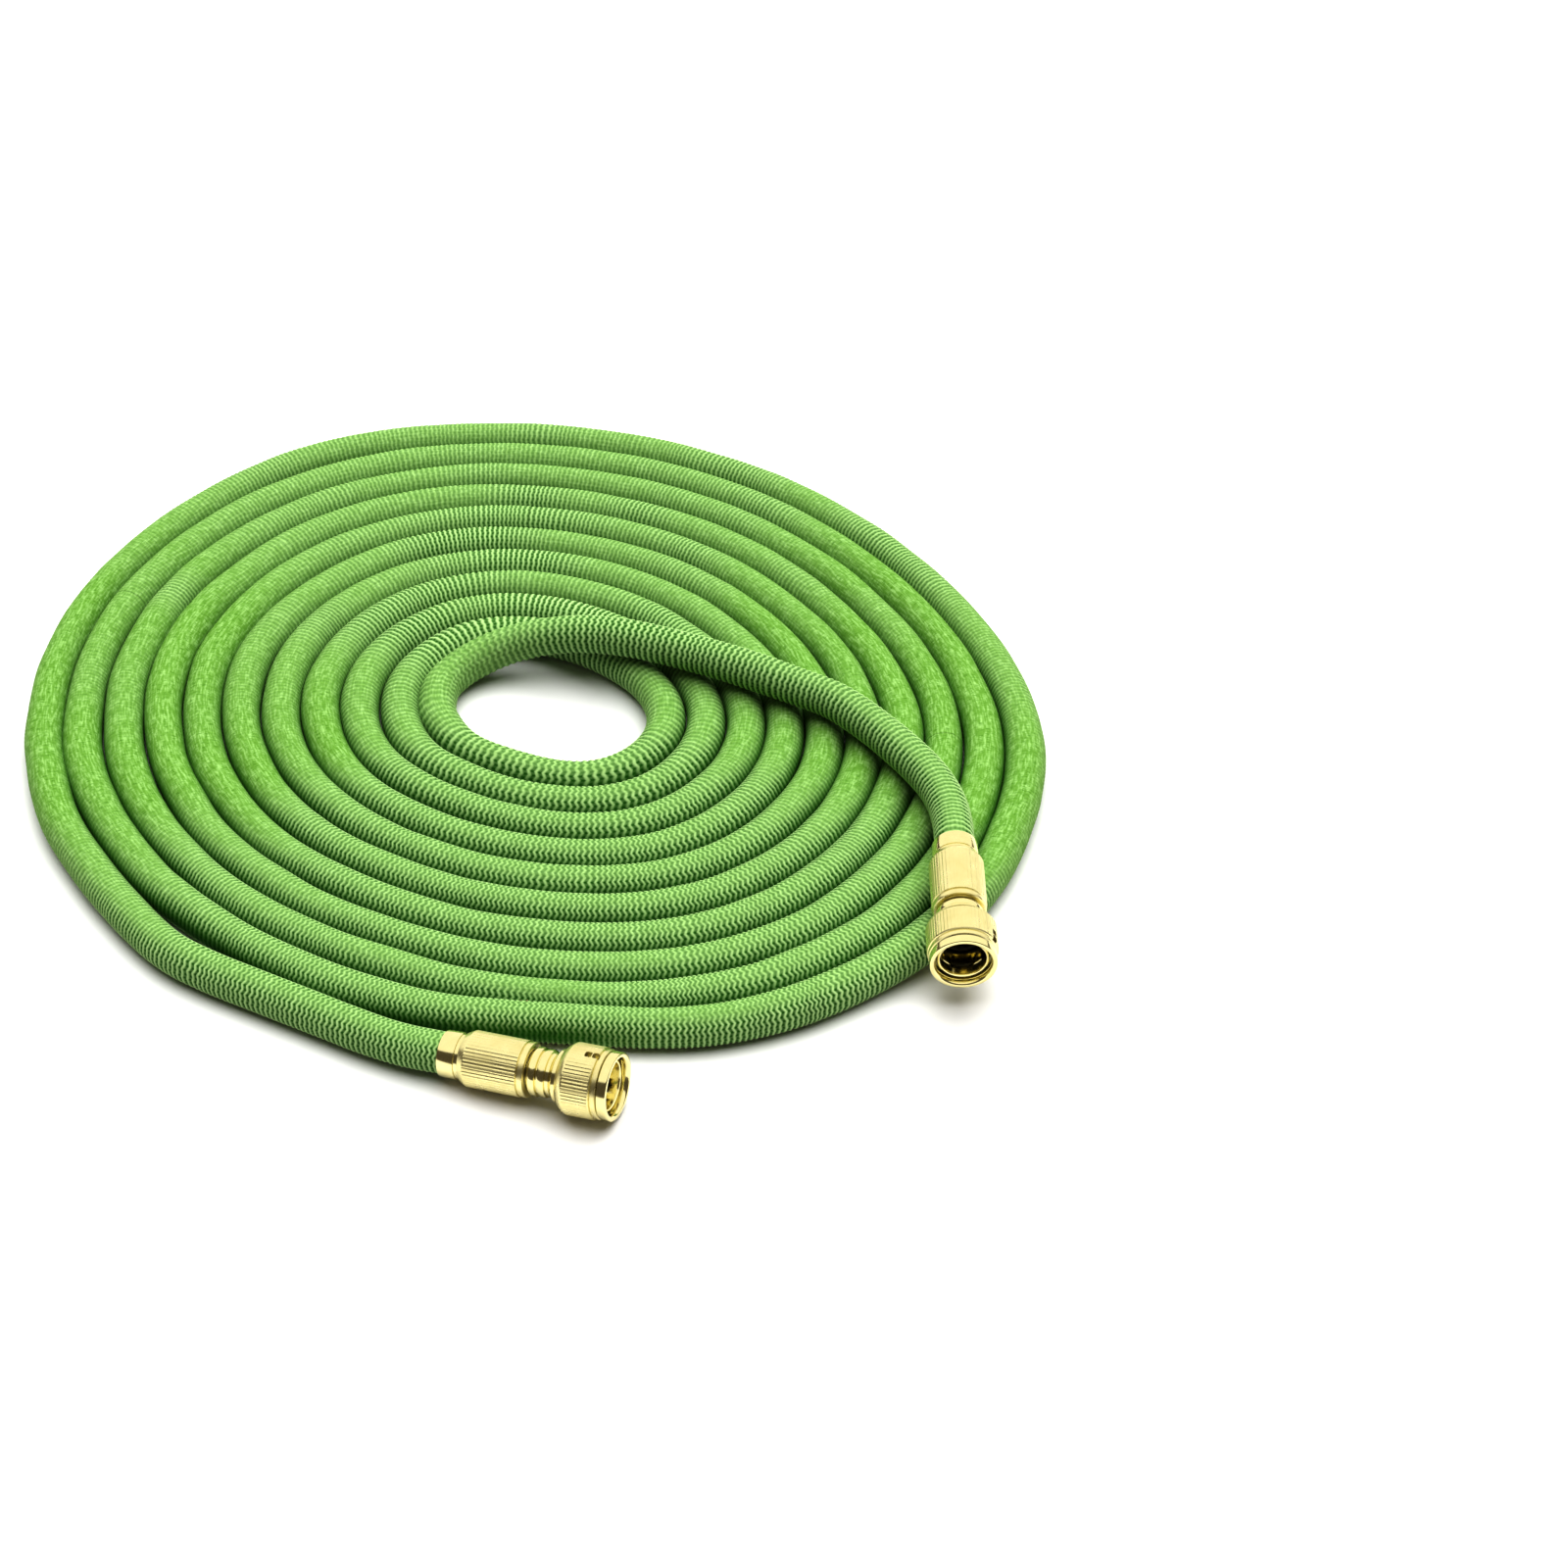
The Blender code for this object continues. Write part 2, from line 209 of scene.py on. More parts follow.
def tubeFaces(rings, sides):
    # Quads between neighbouring rings, and one face that closes each end
    k, j = np.meshgrid(np.arange(rings - 1), np.arange(sides), indexing="ij")
    after = (j + 1) % sides
    here, ahead = k * sides, (k + 1) * sides
    quads = np.stack([here + j, ahead + j, ahead + after, here + after], axis=-1)
    last = (rings - 1) * sides
    return quads.reshape(-1, 4), [list(range(sides)), list(range(last + sides - 1, last - 1, -1))]


# The elastic tube inside the sheath carries the hose's length
tube = {"radius": 8.8 * mm, "sides": 12, "step": 8}


def addTube(settings):
    points = line[::settings["step"]]
    ahead, side, up = ringFrames(points)
    turn = np.linspace(0, 2 * math.pi, settings["sides"], endpoint=False)
    across = np.cos(turn)[None, :, None] * side[:, None] + np.sin(turn)[None, :, None] * up[:, None]
    rings = points[:, None] + settings["radius"] * across
    quads, caps = tubeFaces(len(points), settings["sides"])
    made = addMesh("elastic_tube", rings.reshape(-1, 3), quads.tolist() + caps)
    print("elastic tube", len(points), "rings")
    return made, points


elasticTube, tubePath = addTube(tube)

# The sheath: woven polyester pushed together into ribs, each rib a zigzag round the hose
sheath = {
    "radius": 10.85 * mm, "endRadius": 10.6 * mm, "depth": 0.8 * mm, "innerDepth": 1.05 * mm,
    "pitch": 2.95 * mm, "innerPitch": 4.6 * mm, "tailPitch": 3.7 * mm, "zigzag": 0.74 * mm,
    "sides": 28, "settle": 0.15 * mm, "pieces": 5, "seed": 11, "endTaper": 50 * mm, "tailEasing": 150 * mm,
    "narrowest": 0.86, "widest": 1.12, "shallowest": 0.12, "topSmoother": 0.5, "backTopKept": 0.85,
    "backLessCreaseShade": 0.72, "lowZigzag": 0.25,
}
# Chance unevenness: how much, and over how many places it is spread
uneven = {
    "pitch": (0.07, 9), "gather": (0.13, 70), "sway": (0.25 * mm, 50), "radius": (0.009, 24), "depth": 0.15,
}
pressedSpread = 60  # places over which the sheath eases from free to pressed
ribProfile = np.array([0, 0.5, 1, 0.5])  # groove, flank, crest, flank
# Places where the ribs stand out more, or less, than round about: turns in, spread in turns, and how much
gathered = [
    (0.22, 0.05, 0.2), (0.37, 0.08, 0.5), (0.5, 0.06, 0.15), (0.75, 0.05, 0.2), (1.25, 0.07, -0.12),
    (2.07, 0.012, 0.4), (2.22, 0.06, -0.1), (3.26, 0.05, 0.4), (4.22, 0.05, 0.3), (5.17, 0.05, 0.25),
    (8.25, 0.08, 0.3),
]


def spreadOut(values, reach):
    # Each value averaged with its neighbours, nearer ones counting more
    kernel = np.hanning(2 * reach + 1)
    padded = np.pad(values, reach, mode="edge")
    return np.convolve(padded, kernel / kernel.sum(), "valid")


def chance(random, kind, count):
    amount, reach = uneven[kind]
    values = spreadOut(random.normal(size=count), reach)
    return amount * values / values.std()


def ramp(values, low, high):
    share = np.clip((values - low) / (high - low), 0, 1)
    return share * share * (3 - 2 * share)


def ribPlaces(settings, random):
    # Where along the line each of a rib's rings lies
    tail = np.clip((along - along[inCoil][-1]) / settings["tailEasing"], 0, 1)
    inner = (turnsIn / coil["turns"]) ** 6
    pitch = settings["pitch"] + (settings["innerPitch"] - settings["pitch"]) * inner
    pitch = pitch + (settings["tailPitch"] - settings["innerPitch"]) * tail
    varied = chance(random, "pitch", len(along))
    pitch = pitch * (1 + varied)
    phase = np.r_[0, np.cumsum(hose["step"] / pitch[1:])]
    steps = len(ribProfile)
    count = int(phase[-1]) * steps + 1
    return np.interp(np.arange(count) / steps * phase[-1] / int(phase[-1]), phase, along)


def halfWidths(points, side, turns, coiled):
    # Neighbouring turns press against each other halfway between their lines
    angle = coil["start"] + 2 * math.pi * turns
    radial = np.stack([np.cos(angle), -np.sin(angle), 0 * angle], axis=1)
    square = np.abs((radial * side).sum(axis=1))
    here = strandRadius(turns, angle)
    inward = (here - strandRadius(turns + 1, angle)) * square / 2
    outward = (strandRadius(turns - 1, angle) - here) * square / 2
    free = sheath["radius"]
    least, most = sheath["narrowest"] * free, sheath["widest"] * free
    inside, outside = coiled & (turns < coil["turns"] - 1), coiled & (turns > 1)
    inward = np.where(inside, np.clip(inward, least, most), free)
    outward = np.where(outside, np.clip(outward, least, most), free)
    # The outer loose end lies against the first turn too; where turns touch, their flanks get painted crease
    # shade
    touching = inside | (~coiled & (turns < 1)), coiled & (turns > 0.72)
    beside = [spreadOut(held.astype(float), pressedSpread)[:, None] for held in touching]
    inward, outward = (spreadOut(width, pressedSpread)[:, None] for width in (inward, outward))
    return inward, outward, beside


# How much the ribs stand out, from 0 to about 1: everywhere, how much more towards the innermost turn and how
# much less at the back, and on the two loose ends. Then how wide their zigzags swing
gathering = {
    "everywhere": 0.14, "innermost": 0.5, "backLess": 0.85, "backInner": 0.28, "backLeast": 0.46, "most": 1.1,
    "outerEnd": 0.25, "tailFrom": 0.4, "tailGrowth": 0.65,
    "straightest": 0.25, "swing": 0.75, "backStraighter": 0.62,
    "tailSwingFrom": 40 * mm, "tailSwingOver": 300 * mm,
}


def gatherAlong(facts, ahead, turns, coiled, toEnd, points, random):
    # The ribs stand out where the hose lies across the front, less across the back, hardly on the two sides
    across = ramp(np.abs(ahead[:, 0]), 0.3, 0.85)
    share = turns / coil["turns"]
    back = ramp(points[:, 1], -50 * mm, 120 * mm)
    gather = facts["everywhere"] + facts["innermost"] * share ** 3
    gather += across * (1 - back * (facts["backLess"] - facts["backInner"] * share))
    gather += chance(random, "gather", len(turns)) * (0.5 + 0.75 * across)
    for middle, spread, more in gathered:
        gather += more * np.exp(-((turns - middle) / spread) ** 2)
    loose = spreadOut(np.where(coiled, 0.0, 1.0), pressedSpread)
    gather += facts["outerEnd"] * loose * (share < 0.5) * across
    # The zigzags are widest across the front, and narrow at the back and towards the inner coupling
    sideways = ramp(np.abs(ahead[:, 0]), 0.55, 0.97)
    wide = facts["straightest"] + sideways * (facts["swing"] - facts["backStraighter"] * back)
    tail = loose * (share > 0.5)
    fromCoupling = np.clip((toEnd - facts["tailSwingFrom"]) / facts["tailSwingOver"], 0, 1)
    wide = wide * (1 - tail) + tail * (facts["straightest"] + facts["swing"] * fromCoupling)
    # The ribs grow over the first stretch of the inner loose end
    tailLength = along[-1] - along[inCoil][-1]
    grown = facts["tailFrom"] + facts["tailGrowth"] * ramp(1 - toEnd / tailLength, 0.08, 0.35)
    gather = gather * (1 - tail) + tail * grown
    return np.clip(np.maximum(gather, facts["backLeast"] * back * across), 0, facts["most"]), wide, back


def sheathShape(settings):
    # Every ring of the sheath, and how gathered it is and how much painted crease shade it gets at each of
    # its points
    random = np.random.default_rng(settings["seed"])
    steps, sides = len(ribProfile), settings["sides"]
    places = ribPlaces(settings, random)
    points = np.stack([np.interp(places, along, line[:, i]) for i in range(3)], axis=1)
    turns = np.interp(places, along, turnsIn)
    coiled = np.interp(places, along, inCoil.astype(float)) > 0.5
    ahead, side, up = ringFrames(points)
    inward, outward, beside = halfWidths(points, side, turns, coiled)
    sway = chance(random, "sway", len(places))
    points = points + side * (sway * np.where(coiled, 1, 0))[:, None]
    gather, wide, back = gatherAlong(gathering, ahead, turns, coiled, places[-1] - places, points, random)

    # Over the top the ribs are made shallower and their painted groove shade lighter, but not at the back. On
    # its flanks, where it is pressed against its neighbours, the sheath gets painted crease shade, less at
    # the back
    turn = (np.arange(sides) / sides * 2 * math.pi)[None, :]
    top = ramp(np.sin(turn), 0.6, 0.97)
    smoother = settings["topSmoother"] * top * (1 - settings["backTopKept"] * back)[:, None]
    gather = gather[:, None] * (1 - smoother)
    flank = 1 - ramp(np.abs(np.sin(turn)), 0.1, 0.86)
    paintedCreaseShade = flank * np.where(np.cos(turn) > 0, beside[0], beside[1])
    paintedCreaseShade *= (1 - settings["backLessCreaseShade"] * back)[:, None]
    ribs = np.repeat(random.normal(size=len(places) // steps + 1), steps)[:len(places)]
    deep = settings["depth"] + (settings["innerDepth"] - settings["depth"]) * (turns / coil["turns"]) ** 2
    shallowest = settings["shallowest"]
    depth = (deep * (1 + uneven["depth"] * ribs))[:, None] * (shallowest + (1 - shallowest) * gather)
    ends = np.minimum(places, places[-1] - places)
    thinner = 1 - settings["endRadius"] / settings["radius"]
    taper = 1 - thinner * np.clip(1 - ends / settings["endTaper"], 0, 1)
    lumps = chance(random, "radius", len(places))
    profile = np.tile(ribProfile, len(places) // steps + 1)[:len(places)]
    radius = (taper * (1 + lumps))[:, None] * (1 - (1 - profile)[:, None] * depth / settings["radius"])

    level = np.cos(turn) * np.where(np.cos(turn) > 0, inward, outward)
    zigzag = settings["zigzag"] * np.where(np.arange(sides) % 2 == 0, 1, -1)[None, :] * wide[:, None]
    low = settings["lowZigzag"]
    zigzag = zigzag * (low + (1 - low) * ramp(np.sin(turn), -0.1, 0.45))
    rings = (points[:, None] + (radius * level)[..., None] * side[:, None]
             + (radius * np.sin(turn) * settings["radius"])[..., None] * up[:, None]
             + zigzag[..., None] * ahead[:, None])
    rings[..., 2] = np.maximum(rings[..., 2] - settings["settle"], 0)
    return rings, gather, paintedCreaseShade


def addSheath(settings):
    rings, gather, paintedCreaseShade = sheathShape(settings)
    steps, sides = len(ribProfile), settings["sides"]
    made = []
    share = math.ceil((len(rings) - 1) / steps / settings["pieces"]) * steps
    for number, first in enumerate(range(0, len(rings) - 1, share)):
        last = min(first + share, len(rings) - 1)
        quads, caps = tubeFaces(last + 1 - first, sides)
        piece = addMesh(f"sheath_{number + 1}", rings[first:last + 1].reshape(-1, 3), quads.tolist() + caps)
        # The gather and the painted crease shade go to the material as attributes
        for name, values in (("gather", gather), ("paintedCreaseShade", paintedCreaseShade)):
            held = piece.data.attributes.new(name, "FLOAT", "POINT")
            held.data.foreach_set("value", values[first:last + 1].ravel().astype(np.float32))
        # In the weave's own coordinates a rib is 1 long, and a zigzag's two sides are 1 across
        k, j = np.meshgrid(np.arange(last - first), np.arange(sides), indexing="ij")
        corners = np.stack([np.stack([(first + k + dk) / steps, (j + dj) / 2], axis=-1)
                            for dk, dj in ((0, 0), (1, 0), (1, 1), (0, 1))], axis=2)
        flat = np.concatenate([corners.reshape(-1, 2), np.zeros((2 * sides, 2))])
        piece.data.uv_layers.new(name="weave").data.foreach_set("uv", flat.astype(np.float32).ravel())
        made.append(piece)
    print("sheath", len(rings) // steps, "ribs in", len(made), "pieces")
    return made


sheathPieces = addSheath(sheath)


def hexColour(code):
    parts = [int(code[i:i + 2], 16) / 255 for i in (1, 3, 5)]
    return (*[c / 12.92 if c <= 0.04045 else ((c + 0.055) / 1.055) ** 2.4 for c in parts], 1)


def addNode(tree, kind, settings=None, links=None):
    # Settings name a property or an input; links join other nodes' outputs to inputs
    node = tree.nodes.new("ShaderNode" + kind)
    for name, value in (settings or {}).items():
        if isinstance(name, str) and hasattr(node, name):
            setattr(node, name, value)
        else:
            node.inputs[name].default_value = value
    for name, source in (links or {}).items():
        tree.links.new(source, node.inputs[name])
    return node


def mixColours(tree, low, high, share):
    # Each colour is a hex code or another node's output
    held, links = {"data_type": "RGBA"}, {0: share}
    for socket, colour in ((6, low), (7, high)):
        if isinstance(colour, str):
            held[socket] = hexColour(colour)
        else:
            links[socket] = colour
    return addNode(tree, "Mix", held, links).outputs[2]


def remap(tree, value, low, high, lowest=0.0, highest=1.0, curve="LINEAR"):
    # Values from low to high come out from lowest to highest
    settings = {"interpolation_type": curve, 1: low, 2: high, 3: lowest, 4: highest}
    return addNode(tree, "MapRange", settings, {0: value}).outputs[0]


def times(tree, value, other):
    return addNode(tree, "Math", {"operation": "MULTIPLY"}, {0: value, 1: other}).outputs[0]


def newMaterial(name, settings):
    material = bpy.data.materials.new(name)
    material.use_nodes = True
    shader = material.node_tree.nodes["Principled BSDF"]
    for socket, value in settings.items():
        shader.inputs[socket].default_value = value
    return material, material.node_tree, shader


# Woven polyester: dull, with a little sheen, pale on the crests of the gathers (partly a painted highlight),
# with painted shade down in their grooves and where the turns press together, and mottled with short pale
# dashes where it is stretched smooth
polyester = {
    "crest": "#B5D198", "pale": "#97BB76", "plain": "#6E9745", "thread": "#4F7C26", "paintedGrooveShade": "#195600",
    "creaseShadeColour": "#226200", "sheen": "#D8FFB0", "ribMm": 3.0, "zigzagMm": 4.94, "yarnMm": (1.6, 0.55),
    "dashMm": (6.5, 1.3), "threadMm": (0.7, 3.5), "blotchMm": (9.0, 4.5),
}


def polyesterBraid(settings):
    material, tree, shader = newMaterial("gathered polyester braid", {
        "Roughness": 0.7, "Specular IOR Level": 0.06, "Sheen Weight": 0.03, "Sheen Roughness": 0.4,
        "Sheen Tint": hexColour(settings["sheen"]),
    })
    weave = addNode(tree, "UVMap", {"uv_map": "weave"}).outputs[0]
    gather = addNode(tree, "Attribute", {"attribute_name": "gather"}).outputs["Fac"]
    paintedCreaseShade = addNode(tree, "Attribute", {"attribute_name": "paintedCreaseShade"}).outputs["Fac"]
    sizes = (settings["ribMm"], settings["zigzagMm"], 1)
    inMm = addNode(tree, "VectorMath", {"operation": "MULTIPLY", 1: sizes}, {0: weave}).outputs[0]

    def noise(size, detail):
        finer = {"operation": "MULTIPLY", 1: (1 / size[0], 1 / size[1], 1)}
        scaled = addNode(tree, "VectorMath", finer, {0: inMm}).outputs[0]
        return addNode(tree, "TexNoise", {"Scale": 1, "Detail": detail}, {"Vector": scaled}).outputs["Fac"]

    dashes = remap(tree, noise(settings["dashMm"], 1), 0.36, 0.66)
    threads = remap(tree, noise(settings["threadMm"], 1), 0.52, 0.7, 0.0, 0.7)
    blotches = remap(tree, noise(settings["blotchMm"], 2), 0.35, 0.7, 0.0, 0.45)
    less = {"operation": "SUBTRACT", "use_clamp": True}
    pale = addNode(tree, "Math", less, {0: dashes, 1: blotches}).outputs[0]
    flecked = mixColours(tree, settings["plain"], settings["pale"], pale)
    smooth = mixColours(tree, flecked, settings["thread"], threads)
    # The more gathered, the paler: the crest colour is partly the yarn's own and partly a painted highlight
    cloth = mixColours(tree, smooth, settings["crest"], remap(tree, gather, 0.1, 0.9, 0.0, 0.8))

    # Painted shade down in the grooves between the ribs
    parts = addNode(tree, "SeparateXYZ", links={0: weave})
    swing = addNode(tree, "Math", {"operation": "PINGPONG", 1: 0.5}, {0: parts.outputs[0]}).outputs[0]
    paintedGrooveShade = remap(tree, swing, 0.44, 0.12, curve="SMOOTHSTEP")
    bend = addNode(tree, "Math", {"operation": "PINGPONG", 1: 0.25}, {0: parts.outputs[1]}).outputs[0]
    deep = times(tree, paintedGrooveShade, remap(tree, bend, 0.0, 0.25, 1.0, 0.72))
    grooveShadeShare = times(tree, deep, remap(tree, gather, 0.05, 0.8))
    ribbed = mixColours(tree, cloth, settings["paintedGrooveShade"], grooveShadeShare)

    # Painted shade on the flanks where the turns press together
    creaseShadeShare = addNode(tree, "Math", {"operation": "MULTIPLY", 1: 0.88}, {0: paintedCreaseShade}).outputs[0]
    tree.links.new(mixColours(tree, ribbed, settings["creaseShadeColour"], creaseShadeShare), shader.inputs["Base Color"])
    yarn = noise(settings["yarnMm"], 2)
    bump = addNode(tree, "Bump", {"Strength": 0.35, "Distance": 0.12 * mm}, {"Height": yarn})
    tree.links.new(bump.outputs[0], shader.inputs["Normal"])
    return material


# Latex rubber: smooth, pale and slightly shiny; it only shows if the sheath is taken off
def latexRubber():
    material, tree, shader = newMaterial("latex rubber", {"Roughness": 0.45})
    noise = addNode(tree, "TexNoise", {"Scale": 90, "Detail": 2}).outputs["Fac"]
    tree.links.new(mixColours(tree, "#C9B48A", "#B39A6C", noise), shader.inputs["Base Color"])
    return material


# Polished brass straight off the lathe: pale yellow, sharp reflections, faint turning marks round the axis
def turnedBrass(name, end, roughness):
    material, tree, shader = newMaterial(name, {"Metallic": 1.0, "Roughness": roughness})
    matrix = couplingMatrix(couplings[end])
    place = addNode(tree, "TexCoord").outputs["Object"]
    local = addNode(tree, "Mapping", {"vector_type": "TEXTURE", "Location": matrix.translation,
                                      "Rotation": matrix.to_euler()}, {"Vector": place}).outputs[0]
    marks = addNode(tree, "VectorMath", {"operation": "MULTIPLY", 1: (60, 60, 5000)}, {0: local}).outputs[0]
    turning = addNode(tree, "TexNoise", {"Scale": 1, "Detail": 2, "Roughness": 0.6}, {"Vector": marks})
    turned = turning.outputs["Fac"]
    handling = addNode(tree, "TexNoise", {"Scale": 130, "Detail": 4, "Roughness": 0.6}, {"Vector": place})
    worn = handling.outputs["Fac"]
    tree.links.new(mixColours(tree, "#F1E9B8", "#E5DBA0", worn), shader.inputs["Base Color"])
    rough = remap(tree, worn, 0.3, 0.75, roughness * 0.8, roughness * 1.5)
    tree.links.new(rough, shader.inputs["Roughness"])
    bump = addNode(tree, "Bump", {"Strength": 0.15, "Distance": 0.02 * mm}, {"Height": turned})
    tree.links.new(bump.outputs[0], shader.inputs["Normal"])
    return material


# Moulded nitrile rubber: matt black with a soft bloom
def nitrileRubber():
    material, tree, shader = newMaterial("moulded nitrile rubber", {"Roughness": 0.6})
    noise = addNode(tree, "TexNoise", {"Scale": 400, "Detail": 3}).outputs["Fac"]
    tree.links.new(mixColours(tree, "#161616", "#2C2C2A", noise), shader.inputs["Base Color"])
    return material


braid = polyesterBraid(polyester)
latex = latexRubber()
nitrile = nitrileRubber()
for piece in sheathPieces:
    piece.data.materials.append(braid)
    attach(piece, "hose")
elasticTube.data.materials.append(latex)
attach(elasticTube, "hose")
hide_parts("hose_coil", "hose_outer_end", "hose_inner_end")

# Brass work, turned on the lathe: sizes in mm, places measured along the axis from the ferrule's back
brass = {
    "sides": 96, "bore": 10.95, "clearance": 0.35, "ferruleRadius": 12.0, "ferruleLength": 11.0,
    "bodyRadius": 14.3, "bodyLength": 36.0, "bodyTeeth": 46, "knurlDepth": 0.16,
    "barrelRadius": 13.4, "barrelLength": 25.4, "socketRadius": 11.5, "socketDepth": 17.0, "seatDepth": 8.0,
    "collarRadius": 18.2, "collarLength": 23.0, "collarTeeth": 60, "mouthRadius": 17.2, "mouthLength": 4.9,
    "clawFromFront": 6.5, "clawSlot": (7.6, 6.7, 5.7), "clawSize": (6.0, 5.0), "slotMiddle": 12.5,
    "barrelWindow": (7.6, 3.6, 3.5), "collarWindow": (10.0, 3.6, 3.5), "windowSteps": (-2.0, 2.0),
    "polish": 0.13, "knurlRoughness": 0.28,
}


def editMode(piece):
    bpy.ops.object.select_all(action="DESELECT")
    piece.select_set(True)
    bpy.context.view_layer.objects.active = piece
    bpy.ops.object.mode_set(mode="EDIT")


def turnPiece(name, profile, sides):
    # A ring is extruded along the profile's radii and places until it meets itself
    bpy.ops.object.select_all(action="DESELECT")
    radius, place = profile[0]
    bpy.ops.mesh.primitive_circle_add(vertices=sides, radius=radius * mm, location=(0, 0, place * mm))
    piece = bpy.context.object
    piece.name = name
    bpy.ops.object.transform_apply(location=True, rotation=False, scale=False)
    editMode(piece)
    bpy.ops.mesh.select_all(action="SELECT")
    for nextRadius, nextPlace in profile[1:] + profile[:1]:
        bpy.ops.mesh.extrude_edges_move(TRANSFORM_OT_translate={"value": (0, 0, (nextPlace - place) * mm)})
        grow = nextRadius / radius
        bpy.ops.transform.resize(value=(grow, grow, 1), center_override=(0, 0, nextPlace * mm))
        radius, place = nextRadius, nextPlace
    bpy.ops.mesh.select_all(action="SELECT")
    bpy.ops.mesh.remove_doubles(threshold=0.001 * mm)
    bpy.ops.mesh.normals_make_consistent(inside=False)
    bpy.ops.object.mode_set(mode="OBJECT")
    return piece


def knurl(piece, teeth, radius, rows, depth):
    # Every fourth line of the band goes in towards the axis, which leaves flat teeth between V-shaped grooves
    lines = 4 * teeth
    chosen = []
    for vertex in piece.data.vertices:
        x, y, z = vertex.co / mm
        number = round(math.atan2(y, x) / (2 * math.pi) * lines)
        inBand = rows[0] - 0.01 < z < rows[1] + 0.01 and abs(math.hypot(x, y) - radius) < 0.02
        chosen.append(number % 4 == 2 and inBand)
    editMode(piece)
    bpy.ops.mesh.select_mode(type="VERT")
    bpy.ops.mesh.select_all(action="DESELECT")
    bpy.ops.object.mode_set(mode="OBJECT")
    piece.data.vertices.foreach_set("select", chosen)
    bpy.ops.object.mode_set(mode="EDIT")
    inward = (radius - depth) / radius
    bpy.ops.transform.resize(value=(inward, inward, 1), center_override=(0, 0, rows[0] * mm))
    bpy.ops.object.mode_set(mode="OBJECT")


def cutSlots(piece, size, places, bevel):
    # Milled slots: each place is a radius, an angle and a place along the axis
    for radius, angle, place in places:
        middle = (radius * math.cos(angle) * mm, radius * math.sin(angle) * mm, place * mm)
        bpy.ops.object.select_all(action="DESELECT")
        bpy.ops.mesh.primitive_cube_add(size=1, location=middle, rotation=(0, 0, angle))
        cutter = bpy.context.object
        cutter.scale = [s * mm for s in size]
        bpy.ops.object.transform_apply(location=False, rotation=False, scale=True)
        soften = cutter.modifiers.new("corners", "BEVEL")
        soften.width = bevel * mm
        soften.segments = 3
        bpy.ops.object.modifier_apply(modifier="corners")
        cut = piece.modifiers.new("slot", "BOOLEAN")
        cut.operation = "DIFFERENCE"
        cut.object = cutter
        bpy.context.view_layer.objects.active = piece
        bpy.ops.object.modifier_apply(modifier="slot")
        bpy.data.objects.remove(cutter)


def settle(piece, matrix, material, body, node, angle=32):
    # The piece goes to its place on the hose, which is then kept in its mesh
    piece.matrix_world = matrix
    bpy.ops.object.select_all(action="DESELECT")
    piece.select_set(True)
    bpy.context.view_layer.objects.active = piece
    bpy.ops.object.transform_apply(location=True, rotation=True, scale=True)
    bpy.ops.object.shade_smooth_by_angle(angle=math.radians(angle))
    piece.data.materials.append(material)
    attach(piece, body)
    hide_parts(node)
    return piece


def ferruleProfile(back):
    r, front, bore = brass["ferruleRadius"], back + brass["ferruleLength"], brass["bore"]
    return [(bore, back), (r - 0.55, back), (r - 0.15, back + 0.25), (r, back + 0.8), (r, front - 2.4),
            (r - 0.15, front - 2.0), (r - 0.5, front - 1.8), (r - 0.5, front), (bore, front)]


def bodyProfile(back):
    r, front = brass["bodyRadius"], back + brass["bodyLength"]
    return [(5, back), (r - 2.1, back), (r - 1.7, back + 0.2), (r - 0.25, back + 3.0), (r, back + 3.6),
            (r, back + 4.0), (r, front - 4.2), (r, front - 3.9), (r - 0.7, front - 3.6),
            (r - 0.7, front - 3.3), (r - 0.35, front - 3.0), (r - 0.35, front - 1.0), (r - 0.6, front - 0.4),
            (r - 1.2, front - 0.1), (r - 2.0, front), (10.25, front), (10.25, front - 11.3),
            (5, front - 11.3)]


def neckRing(middle, width, radius, root):
    half = width / 2
    return [(root, middle + half + 0.2), (radius - 0.3, middle + half - 0.25), (radius, middle + half - 1.0),
            (radius, middle - half + 1.0), (radius - 0.3, middle - half + 0.25), (root, middle - half - 0.2)]


def connectorProfile(back, neck):
    barrelBack = back + neck
    front, r, socket = barrelBack + brass["barrelLength"], brass["barrelRadius"], brass["socketRadius"]
    rings = neckRing(back + 3.0, 4.0, 12.4, 11.1)
    if neck > 10:
        rings = neckRing(back + 7.9, 4.2, 12.1, 11.1) + rings
    seatBack = front - brass["socketDepth"] - brass["seatDepth"]
    return [(socket, front + 0.9), (socket + 0.35, front + 1.5), (socket + 0.9, front + 1.7),
            (r - 0.4, front + 1.4), (r - 0.2, front + 0.8), (r, front - 0.2), (r, barrelBack + 0.3),
            (r - 0.3, barrelBack - 0.1), (r - 1.9, barrelBack - 1.6), (11.2, barrelBack - 2.0)] + rings + [
            (10.9, back + 0.3), (9.9, back), (9.9, back - 11), (5, back - 11), (5, seatBack), (7.5, seatBack),
            (7.5, front - brass["socketDepth"]), (socket, front - brass["socketDepth"])]


def collarProfile(front):
    r, back = brass["collarRadius"], front - brass["collarLength"]
    bore = brass["barrelRadius"] + brass["clearance"]
    return [(bore, front), (r - 1.3, front), (r - 0.75, front - 0.3), (r - 0.6, front - 0.9),
            (r - 0.6, front - 2.3), (r - 1.1, front - 2.6), (r - 1.1, front - 3.0), (r - 0.3, front - 3.4),
            (r, front - 3.8),
            (r, front - 4.1), (r, back + 5.4), (r, back + 5.1), (r - 0.1, back + 4.5), (r - 0.6, back + 3.6),
            (r - 1.5, back + 2.4), (r - 2.8, back + 0.9), (r - 3.7, back + 0.15), (bore, back)]


